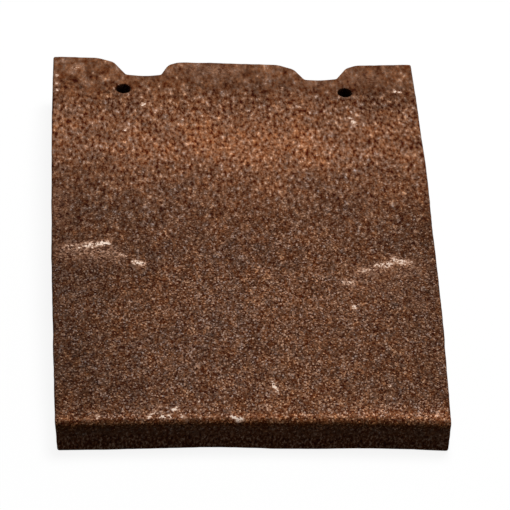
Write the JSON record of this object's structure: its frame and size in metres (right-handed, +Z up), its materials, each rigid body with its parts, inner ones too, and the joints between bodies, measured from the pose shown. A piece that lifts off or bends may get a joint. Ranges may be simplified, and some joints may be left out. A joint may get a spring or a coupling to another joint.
{
  "type": "clay eave tile",
  "caption": "Cambered sand-faced clay eave tile with a lobed head, nibs beneath that hook over a batten, nail holes near the head and a rounded tail edge.",
  "frame": {"origin": "centre of the overall box at floor level, with the tile lying on its nibs and its tail edge", "axes": "+X across the tile, +Y from the tail to the head, +Z up, out of the weather face"},
  "size_m": [0.165, 0.215, 0.0291],
  "materials": {
    "fired_clay": "matt, sand faced"
  },
  "bodies": {
    "root": {"eave_tile": "fired_clay"}
  },
  "joints": []
}
